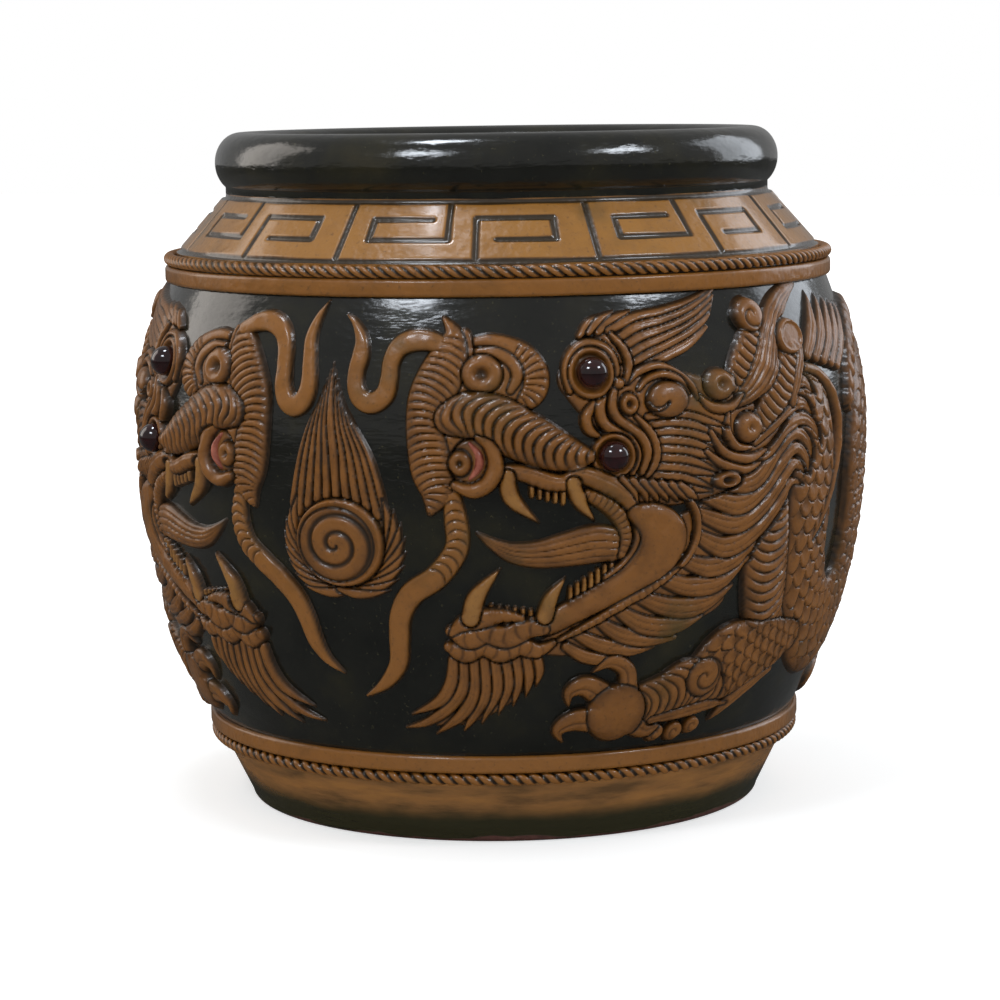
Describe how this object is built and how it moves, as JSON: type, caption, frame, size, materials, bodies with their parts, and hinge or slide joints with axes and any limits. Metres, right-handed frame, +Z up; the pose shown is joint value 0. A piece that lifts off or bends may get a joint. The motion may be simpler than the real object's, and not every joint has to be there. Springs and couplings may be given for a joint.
{
  "type": "martaban jar",
  "caption": "Large glazed stoneware storage jar with a wide rolled mouth, key fret shoulder, rope bands and two applied dragons facing a flaming pearl.",
  "frame": {"origin": "centre of the flat underside, on the floor", "axes": "+Z up the jar's axis and out of its mouth; the flaming pearl is on the -Y side and the right-hand dragon, seen from there, on the +X side"},
  "size_m": [0.5796, 0.5737, 0.525],
  "materials": {
    "dark_glaze": "glossy green-black glaze",
    "band_glaze": "glossy amber glaze",
    "relief_glaze": "glossy amber-brown glaze, darker in the hollows",
    "foot_glaze": "glossy amber glaze over a green-black run and a bare clay edge",
    "tooth_glaze": "glossy pale amber glaze",
    "eye_glaze": "high gloss, very dark red",
    "bare_clay": "dry, unglazed"
  },
  "bodies": {
    "root": {"floor_disc": "bare_clay", "foot_wall": "foot_glaze", "belly_lower_wall": "dark_glaze", "belly_upper_wall": "dark_glaze", "shoulder_wall": "band_glaze", "rim_roll": "dark_glaze", "upper_plain_band": "band_glaze", "upper_rope_band": "band_glaze", "lower_plain_band": "band_glaze", "lower_rope_band": "band_glaze", "pearl": "relief_glaze", "pearl_flames": "relief_glaze", "right_whiskers": "relief_glaze", "right_nose_frill": "relief_glaze", "right_nose_leaf": "relief_glaze", "right_nostrils": "relief_glaze", "right_snout": "relief_glaze", "right_upper_jaw": "relief_glaze", "right_lower_jaw": "relief_glaze", "right_teeth": "tooth_glaze", "right_tongue": "relief_glaze", "right_eyelids": "relief_glaze", "right_eyes": "eye_glaze", "right_forehead": "relief_glaze", "right_brow_tufts": "relief_glaze", "right_horn": "relief_glaze", "right_mane": "relief_glaze", "right_beard": "relief_glaze", "right_neck_scutes": "relief_glaze", "right_body": "relief_glaze", "right_back_fin": "relief_glaze", "right_foreleg": "relief_glaze", "right_hind_leg": "relief_glaze", "right_claws": "relief_glaze", "right_tail_tuft": "relief_glaze", "left_whiskers": "relief_glaze", "left_nose_frill": "relief_glaze", "left_nose_leaf": "relief_glaze", "left_nostrils": "relief_glaze", "left_snout": "relief_glaze", "left_upper_jaw": "relief_glaze", "left_lower_jaw": "relief_glaze", "left_teeth": "tooth_glaze", "left_tongue": "relief_glaze", "left_eyelids": "relief_glaze", "left_eyes": "eye_glaze", "left_forehead": "relief_glaze", "left_brow_tufts": "relief_glaze", "left_horn": "relief_glaze", "left_mane": "relief_glaze", "left_beard": "relief_glaze", "left_neck_scutes": "relief_glaze", "left_body": "relief_glaze", "left_back_fin": "relief_glaze", "left_foreleg": "relief_glaze", "left_hind_leg": "relief_glaze", "left_claws": "relief_glaze", "left_tail_tuft": "relief_glaze"}
  },
  "joints": []
}
